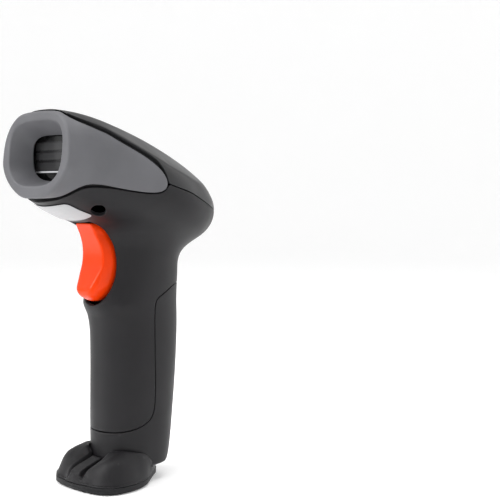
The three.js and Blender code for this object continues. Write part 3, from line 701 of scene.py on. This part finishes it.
SLOT_HEIGHTS = np.linspace(*SLOT_Z, 60)
SLOT_OUTLINE = np.vstack([
    np.stack([slot_half(SLOT_HEIGHTS), SLOT_HEIGHTS], 1),
    np.stack([-slot_half(SLOT_HEIGHTS), SLOT_HEIGHTS], 1)[::-1]])


def in_nose(y, z):
    """How far inside the nose's outline a point is, seen from the side."""
    return outline_distance(y, z, NOSE_OUTLINE)


def bed_width(y):
    """How far from the nose's upper edge the dark strip reaches."""
    return 1.3 * GAP + BED_WIDTH * smoothstep(-45.5, -43, y) * smoothstep(-6, -12, y)


def above_parting(y, z):
    """Height above the seam between cover and housing, scaled to be near a distance."""
    return (z - PARTING_LINE(y)) * 0.95


def keep_bezel(x, y, z):
    inside = outline_distance(y, z, BEZEL_OUTLINE)
    in_funnel = (funnel(x, y, z) < 1) & (y > FACE_Y + 1)
    return np.where(in_funnel, FACE_Y + FUNNEL_DEPTH - y, inside)


def keep_cover(x, y, z):
    above = above_parting(y, z) - GAP / 2
    beyond = -in_nose(y, z) - bed_width(y)
    front = np.where(y < HOOD_Y + 0.3, z - bezel_arch(x) - 0.3, FAR)
    window = -GAP - rounded_box(x, y - INDICATOR[0], INDICATOR[1], INDICATOR[2], 1.2)
    window = np.where(z > PARTING_LINE(y) + 6, window, FAR)
    return np.minimum(smin(above, beyond, 0.8), np.minimum(front, window))


def keep_cover_bed(x, y, z):
    """Under the nose's edge and under the cover's edge."""
    seam = in_nose(y, z)
    above = above_parting(y, z) - GAP / 2
    strip = np.minimum(seam + bed_width(y) + 1.2, 1 - seam)
    return np.minimum(np.minimum(strip, above), np.minimum(y - HOOD_Y - 0.8, -4 - y))


def keep_housing_bed(x, y, z):
    """Under the nose's edge and under the housing's edge."""
    seam = in_nose(y, z)
    below = -above_parting(y, z) - GAP / 2
    return np.minimum(np.minimum(seam + 3, 1 - seam), np.minimum(below, y + 49))


def keep_housing(x, y, z):
    below = -above_parting(y, z) - GAP / 2
    beyond = -in_nose(y, z) - NOSE_GAP - LIP_WIDTH * smoothstep(-28, -38, y)
    ahead = -outline_distance(y, z, REAR_OUTLINE) - GAP
    beside_slot = -outline_distance(x, z, SLOT_OUTLINE) - SLOT_ROOM
    slot = np.maximum(beside_slot, np.maximum(y - SLOT_Y[1], SLOT_Y[0] - y))
    wells = np.hypot(np.abs(x) - SCREW[0], y - SCREW[1]) - SCREW_HOLE
    wells = np.where(z < WELL_TOP_Z, wells, FAR)
    return np.minimum(np.minimum(smin(below, beyond, 0.8), ahead), np.minimum(slot, wells))


def keep_rear(x, y, z):
    socket = -rounded_box(x, y - SOCKET[0], SOCKET[1], SOCKET[2], 1)
    socket = np.where(z < GRIP_FLOOR + 0.5, socket, FAR)
    return np.minimum(outline_distance(y, z, REAR_OUTLINE), socket)


def keep_foot(x, y, z):
    return body(x, y, z) - GAP


def keep_label(x, y, z):
    """A label that widens towards its back, with a front edge that curves back to the sides."""
    side = LABEL_HALF + 0.2 * (y + 42.7) - np.abs(x)
    ends = smin(y - LABEL_Y[0] - 0.017 * x * x, LABEL_Y[1] - y, 1)
    return np.where(z < LABEL_TOP_Z, smin(side, ends, 1.6), -FAR)


# ---------------------------------------------------------------- materials

def new_material(name, **sockets):
    """A material with one Principled shader; sockets are its uniform values."""
    material = bpy.data.materials.new(name)
    material.use_nodes = True
    tree = material.node_tree
    shader = tree.nodes["Principled BSDF"]
    for key, value in sockets.items():
        shader.inputs[key.replace("_", " ")].default_value = value
    return material, tree, shader


def link(tree, source, target):
    tree.links.new(source, target)


def noise(tree, scale, detail=3.0, roughness=0.55, stretch=None):
    """A noise texture in the object's own space; scale is in cells per metre."""
    coords = tree.nodes.new("ShaderNodeTexCoord")
    texture = tree.nodes.new("ShaderNodeTexNoise")
    texture.inputs["Scale"].default_value = scale
    texture.inputs["Detail"].default_value = detail
    texture.inputs["Roughness"].default_value = roughness
    source = coords.outputs["Object"]
    if stretch:
        mapping = tree.nodes.new("ShaderNodeMapping")
        mapping.inputs["Scale"].default_value = stretch
        link(tree, source, mapping.inputs["Vector"])
        source = mapping.outputs["Vector"]
    link(tree, source, texture.inputs["Vector"])
    return texture.outputs["Fac"]


def spread(tree, source, low, high, from_low=0.3, from_high=0.7):
    """The source's values, spread between two numbers."""
    node = tree.nodes.new("ShaderNodeMapRange")
    node.inputs["From Min"].default_value = from_low
    node.inputs["From Max"].default_value = from_high
    node.inputs["To Min"].default_value = low
    node.inputs["To Max"].default_value = high
    link(tree, source, node.inputs["Value"])
    return node.outputs["Result"]


def two_tones(tree, factor, first, second):
    """One colour where the factor is 0 and another where it is 1."""
    node = tree.nodes.new("ShaderNodeMix")
    node.data_type = "RGBA"
    colours = [s for s in node.inputs if s.type == "RGBA"]
    colours[0].default_value = (*first, 1)
    colours[1].default_value = (*second, 1)
    link(tree, factor, node.inputs["Factor"])
    return [s for s in node.outputs if s.type == "RGBA"][0]


def painted_edge_highlight(tree, colour, edge_highlight, amount):
    """Mixes a painted highlight, a lighter tone, in where the surface turns sharply outwards."""
    geometry = tree.nodes.new("ShaderNodeNewGeometry")
    # Painted highlight: sharp convex edges get a lighter tone.
    edge = spread(tree, geometry.outputs["Pointiness"], 0, amount, 0.52, 0.6)
    node = tree.nodes.new("ShaderNodeMix")
    node.data_type = "RGBA"
    colours = [s for s in node.inputs if s.type == "RGBA"]
    link(tree, colour, colours[0])
    colours[1].default_value = (*edge_highlight, 1)
    link(tree, edge, node.inputs["Factor"])
    return [s for s in node.outputs if s.type == "RGBA"][0]


def bump(tree, height, distance, strength=1.0, under=None):
    node = tree.nodes.new("ShaderNodeBump")
    node.inputs["Distance"].default_value = distance
    node.inputs["Strength"].default_value = strength
    link(tree, height, node.inputs["Height"])
    if under:
        link(tree, under, node.inputs["Normal"])
    return node.outputs["Normal"]


def moulded(name, tone, rough, grain=0.35, depth=0.012, edge_highlight=1.5, **sockets):
    """Moulded plastic: spark-eroded grain (its size and depth in mm), faint mottling and a painted
    highlight on sharp edges.
    """
    material, tree, shader = new_material(name, **sockets)
    darker = tuple(0.9 * c for c in tone)
    brighter = tuple(1.08 * c for c in tone)
    mottle = two_tones(tree, spread(tree, noise(tree, 70, 4), 0, 1), darker, brighter)
    # Painted highlight: sharp edges are mixed towards a lighter tone.
    colour = painted_edge_highlight(tree, mottle, tuple(min(1, edge_highlight * c + 0.01) for c in tone), 0.5)
    link(tree, colour, shader.inputs["Base Color"])
    link(tree, spread(tree, noise(tree, 45, 5), rough - 0.06, rough + 0.08), shader.inputs["Roughness"])
    fine = bump(tree, noise(tree, 1 / (grain * MM), 2), depth * MM)
    waves = bump(tree, noise(tree, 22, 1), 0.06 * MM, 1, fine)
    link(tree, waves, shader.inputs["Normal"])
    return material


def metal(name, tone, rough):
    """Brushed metal: its streaks carry tone, roughness and relief."""
    material, tree, shader = new_material(name, Metallic=1.0)
    brushed = noise(tree, 900, 3, stretch=(1, 1, 0.15))
    link(tree, two_tones(tree, brushed, tuple(0.85 * c for c in tone), tone), shader.inputs["Base Color"])
    link(tree, spread(tree, brushed, rough - 0.06, rough + 0.1), shader.inputs["Roughness"])
    link(tree, bump(tree, brushed, 0.01 * MM), shader.inputs["Normal"])
    return material


def circuit_board(name):
    """Green board with raised tracks between its pads."""
    material, tree, shader = new_material(name, IOR=1.5)
    coords = tree.nodes.new("ShaderNodeTexCoord")
    tracks = tree.nodes.new("ShaderNodeTexBrick")
    tracks.inputs["Scale"].default_value = 260
    tracks.inputs["Color1"].default_value = (0.02, 0.14, 0.06, 1)
    tracks.inputs["Color2"].default_value = (0.03, 0.18, 0.08, 1)
    tracks.inputs["Mortar"].default_value = (0.06, 0.26, 0.12, 1)
    link(tree, coords.outputs["Object"], tracks.inputs["Vector"])
    link(tree, tracks.outputs["Color"], shader.inputs["Base Color"])
    link(tree, spread(tree, noise(tree, 300), 0.35, 0.5), shader.inputs["Roughness"])
    link(tree, bump(tree, tracks.outputs["Fac"], 0.03 * MM), shader.inputs["Normal"])
    return material


def glassy(name, tone, rough, **sockets):
    """Clear or tinted plastic or glass, faintly uneven in tone and surface."""
    material, tree, shader = new_material(name, **sockets)
    tint = two_tones(tree, noise(tree, 60), tuple(0.94 * c for c in tone), tone)
    link(tree, tint, shader.inputs["Base Color"])
    link(tree, spread(tree, noise(tree, 90), rough, rough + 0.05), shader.inputs["Roughness"])
    link(tree, bump(tree, noise(tree, 40, 1), 0.01 * MM), shader.inputs["Normal"])
    return material


def smoked_window_painted_light(name):
    """Smoked window over ribs: bands of painted light and shade by height, with one painted highlight near
    the bottom; the same bands give the ribs their relief.
    """
    material, tree, shader = new_material(name, IOR=1.35)
    coords = tree.nodes.new("ShaderNodeTexCoord")
    split = tree.nodes.new("ShaderNodeSeparateXYZ")
    link(tree, coords.outputs["Generated"], split.inputs["Vector"])
    ramp = tree.nodes.new("ShaderNodeValToRGB")
    # Painted light and shade: tones by height, with a bright painted highlight band from 0.245 to 0.262.
    painted_light_bands = [(0, 0.004), (0.235, 0.004), (0.245, 0.62), (0.262, 0.62), (0.272, 0.012), (0.3, 0.035),
             (0.42, 0.03), (0.44, 0.012), (0.47, 0.012), (0.495, 0.038), (0.6, 0.032), (0.62, 0.014),
             (0.65, 0.014), (0.67, 0.042), (0.78, 0.036), (0.83, 0.008), (1, 0.005)]
    stops = ramp.color_ramp.elements
    while len(stops) < len(painted_light_bands):
        stops.new(0.5)
    for stop, (place, tone) in zip(stops, painted_light_bands):
        stop.position = place
        stop.color = (tone, tone, 1.04 * tone, 1)
    link(tree, split.outputs["Z"], ramp.inputs["Fac"])
    link(tree, ramp.outputs["Color"], shader.inputs["Base Color"])
    link(tree, spread(tree, noise(tree, 90), 0.12, 0.2), shader.inputs["Roughness"])
    link(tree, bump(tree, ramp.outputs["Color"], 0.1 * MM), shader.inputs["Normal"])
    return material


def blank_label(name):
    """Blank satin label stock: paper fibres under a film, faintly uneven in tone."""
    material, tree, shader = new_material(name, IOR=1.45, Coat_Weight=0.25, Coat_Roughness=0.25)
    fibres = noise(tree, 2400, 4)
    tone = two_tones(tree, noise(tree, 130, 3), (0.31, 0.315, 0.325), (0.35, 0.355, 0.365))
    link(tree, tone, shader.inputs["Base Color"])
    link(tree, spread(tree, fibres, 0.4, 0.55), shader.inputs["Roughness"])
    link(tree, bump(tree, fibres, 0.006 * MM), shader.inputs["Normal"])
    return material


BEZEL_GREY = moulded("bezel_grey", (0.095, 0.095, 0.103), 0.48, 0.3, 0.006, 1.25, IOR=1.4)
COVER_BLACK = moulded("cover_black", (0.0095, 0.0095, 0.0105), 0.38, 0.3, 0.008, 1.6, IOR=1.4)
CHARCOAL = moulded("housing_charcoal", (0.0085, 0.008, 0.0092), 0.46, 0.4, 0.014, 1.6, IOR=1.31)
BASE_BLACK = moulded("base_black", (0.007, 0.007, 0.008), 0.5, 0.4, 0.012, 1.6, IOR=1.3)
ORANGE = moulded("trigger_orange", (0.75, 0.04, 0.002), 0.22, 0.5, 0.002, 1.05, IOR=1.33,
                 Specular_Tint=(1, 0.62, 0.42, 1))
RUBBER = moulded("rubber_black", (0.012, 0.012, 0.013), 0.8, 0.5, 0.03, 1.3, IOR=1.5)
COMPONENT_BLACK = moulded("component_black", (0.03, 0.03, 0.032), 0.5, 0.3, 0.01, 1.4, IOR=1.5)
COMPONENT_WHITE = moulded("component_white", (0.78, 0.77, 0.7), 0.35, 0.4, 0.003, 1.1, IOR=1.5)
CELL_WRAP = moulded("cell_wrap", (0.03, 0.12, 0.36), 0.32, 0.8, 0.004, 1.2, IOR=1.5)
STEEL = metal("steel", (0.62, 0.63, 0.65), 0.3)
BLACK_STEEL = metal("black_steel", (0.08, 0.08, 0.085), 0.38)
BOARD = circuit_board("circuit_board")
LABEL = blank_label("label_paper")
CLEAR = glassy("clear_plastic", (0.5, 0.55, 0.56), 0.16, IOR=1.49, Transmission_Weight=0.35)
WINDOW_PAINTED_LIGHT = smoked_window_painted_light("window_glass")
LENS_GLASS = glassy("lens_glass", (0.72, 0.8, 0.9), 0.02, IOR=1.5, Transmission_Weight=0.9)
AIMER_RED = glassy("aimer_red", (0.6, 0.03, 0.02), 0.12, IOR=1.5, Transmission_Weight=0.3)

# ---------------------------------------------------------------- camera, floor and lights

def add_camera():
    """A long lens at the height of the head, about an eighth of a turn round from the nose."""
    data = bpy.data.cameras.new("camera")
    data.lens = 75.6
    data.sensor_width = 36
    data.clip_start = 0.01
    camera = bpy.data.objects.new("camera", data)
    camera.location = (0.3498, -0.2848, 0.121)
    camera.rotation_euler = (math.radians(87), 0, math.radians(44.5))
    bpy.context.scene.collection.objects.link(camera)
    bpy.context.scene.camera = camera


def add_stage():
    """A pale seamless floor that curves up into a wall all round, so that no view shows an edge."""
    material, tree, shader = new_material("studio_floor", Roughness=0.9, Emission_Strength=0.14,
                                          Emission_Color=(1, 1, 1, 1))
    tint = two_tones(tree, noise(tree, 3), (0.91, 0.91, 0.91), (0.93, 0.93, 0.93))
    link(tree, tint, shader.inputs["Base Color"])
    flat, bend, rise, sides, steps = 1.7, 0.8, 0.5, 96, 16
    outline = [(flat * k / 6, 0.0) for k in range(1, 7)]
    for k in range(1, steps + 1):
        turn = math.pi / 2 * k / steps
        outline.append((flat + bend * math.sin(turn), bend * (1 - math.cos(turn))))
    outline.append((flat + bend, bend + rise))
    points, faces = [(0, 0, 0)], []
    for radius, height in outline:
        points += [(radius * math.cos(a), radius * math.sin(a), height)
                   for a in (2 * math.pi * i / sides for i in range(sides))]
    for i in range(sides):
        after = (i + 1) % sides
        faces.append((0, 1 + i, 1 + after))
        for ring in range(len(outline) - 1):
            base = 1 + ring * sides
            faces.append((base + i, base + sides + i, base + sides + after, base + after))
    mesh = bpy.data.meshes.new("floor")
    mesh.from_pydata(points, [], faces)
    mesh.polygons.foreach_set("use_smooth", [True] * len(faces))
    mesh.materials.append(material)
    floor = bpy.data.objects.new("floor", mesh)
    bpy.context.scene.collection.objects.link(floor)


def add_light(name, place, aim, size, power):
    """A softbox at a place, turned towards what it lights."""
    data = bpy.data.lights.new(name, "AREA")
    data.shape = "RECTANGLE"
    data.size, data.size_y = size
    data.energy = power
    light = bpy.data.objects.new(name, data)
    light.location = place
    away = np.array(place, float) - np.array(aim, float)
    yaw = math.atan2(away[0], -away[1])
    light.rotation_euler = (math.atan2(math.hypot(away[0], away[1]), away[2]), 0, yaw)
    bpy.context.scene.collection.objects.link(light)


def add_world():
    world = bpy.data.worlds.new("studio")
    world.use_nodes = True
    background = world.node_tree.nodes["Background"]
    background.inputs["Color"].default_value = (1, 1, 1, 1)
    background.inputs["Strength"].default_value = 0.78
    bpy.context.scene.world = world


def add_lights():
    add_light("top_softbox", (0.1, -0.1, 0.85), (0, 0, 0.1), (0.6, 0.6), 5)
    add_light("front_softbox", (-0.25, -0.55, 0.48), (0, -0.03, 0.12), (0.35, 0.35), 3)
    add_light("rear_softbox", (0.3, 0.5, 0.3), (0, 0, 0.09), (0.25, 0.5), 1)


add_camera()
add_stage()
add_world()
add_lights()
bpy.context.scene.view_settings.view_transform = "Standard"

# ---------------------------------------------------------------- outer mouldings
# Each skin is looked for in a box between two corners, on a grid with the step that follows them.

def add_nose_bezel():
    nose = shell(bezel, keep_bezel, (-33, -52.5, 116), (33, -3, 156), 0.5, wall=1.1)
    place_piece("nose_bezel_shell", [nose], BEZEL_GREY, "casing", "bezel_grey", "nose_bezel")


def add_top_cover():
    outer = shell(cover, keep_cover, (-33, -48, 108), (33, 41, 157), 0.6)
    strip = shell(cover_bed, keep_cover_bed, (-33, -48, 120), (33, 0, 157), 0.6, wall=BED_WALL)
    place_piece("top_cover_shell", [outer, strip], COVER_BLACK, "casing", "cover_black", "top_cover")


def add_main_housing():
    outer = shell(body, keep_housing, (-33, -52.5, 18), (33, 41, 140), 0.85)
    strip = shell(housing_bed, keep_housing_bed, (-33, -52.5, 114), (33, 0, 134), 0.7, wall=BED_WALL)
    place_piece("main_housing_shell", [outer, strip], CHARCOAL, "casing", "housing_charcoal",
                "main_housing")


def add_rear_grip_cover():
    back = shell(body, keep_rear, (-18, -23, 5.5), (18, 21, 87), 0.7)
    place_piece("rear_grip_shell", [back], CHARCOAL, "casing", "housing_charcoal", "rear_grip_cover")


def add_foot_cover():
    hoof = shell(foot, keep_foot, (-23, -35, 2), (23, 13, 19), 0.42, wall=1.0)
    place_piece("foot_cover", [hoof], CHARCOAL, "casing", "housing_charcoal", "foot_shell")


def add_trigger():
    lever = closed_form(trigger, (-10, -29, 76), (10, -8, 112), 0.4)
    place_piece("trigger_lever", [lever], ORANGE, "trigger", "trigger_orange", "trigger")


def add_label():
    sheet = shell(label_face, keep_label, (-16, -46, 108), (16, -30, 126), 0.6, rim=0.05, wall=0.12)
    place_piece("rating_label", [sheet], LABEL, "casing", "label_paper", "chin_label")


def add_bottom_plate():
    shank_holes = [screw_hole(y, SHANK_HOLE) for y in BASE_SCREWS]
    head_holes = [screw_hole(y, HEAD_HOLE, HEAD_SEAT_Z) for y in BASE_SCREWS]
    holes = shank_holes + head_holes + [socket_hole(0)]
    plate = closed_form(flat_slice(0.12, PLATE_BOTTOM, PLATE_TOP, holes), (-22, -35, 0), (22, 12, 4), 0.55)
    place_piece("bottom_plate", [plate], BASE_BLACK, "casing", "base_black", "base_plate")


def add_rubber_sole():
    holes = [screw_hole(y, SOLE_HOLE) for y in BASE_SCREWS] + [socket_hole(1.4)]
    sole = closed_form(flat_slice(1.2, 0, SOLE_TOP, holes), (-22, -35, -1), (22, 12, 2), 0.5)
    place_piece("rubber_sole", [sole], RUBBER, "casing", "rubber_black", "sole_pad")


add_nose_bezel()
add_top_cover()
add_main_housing()
add_rear_grip_cover()
add_foot_cover()
add_trigger()
add_label()
add_bottom_plate()
add_rubber_sole()

# ---------------------------------------------------------------- CAD nodes that stay

KEPT = {
    STEEL: ("trigger_pin", "trigger_spring", "shield_can", "radio_module", "contact_spring",
            "charging_socket"),
    BLACK_STEEL: ("head_screw_left", "head_screw_right", "base_screw_front", "base_screw_rear"),
    BOARD: ("switch_board", "engine_board", "main_board", "charging_board"),
    COMPONENT_BLACK: ("switch_body", "light_baffle", "engine_body", "lens_barrel", "beeper",
                      "battery_cradle"),
    COMPONENT_WHITE: ("switch_plunger", "lamp_left", "lamp_right"),
    RUBBER: ("window_gasket",),
    CLEAR: ("indicator_lens",),
    WINDOW_PAINTED_LIGHT: ("scan_window",),
    LENS_GLASS: ("lens",),
    AIMER_RED: ("aimer",),
    CELL_WRAP: ("battery_cell",),
}
for finish, names in KEPT.items():
    for node_name in names:
        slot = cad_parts[node_name].material_slots[0]
        slot.link = "OBJECT"
        slot.material = finish
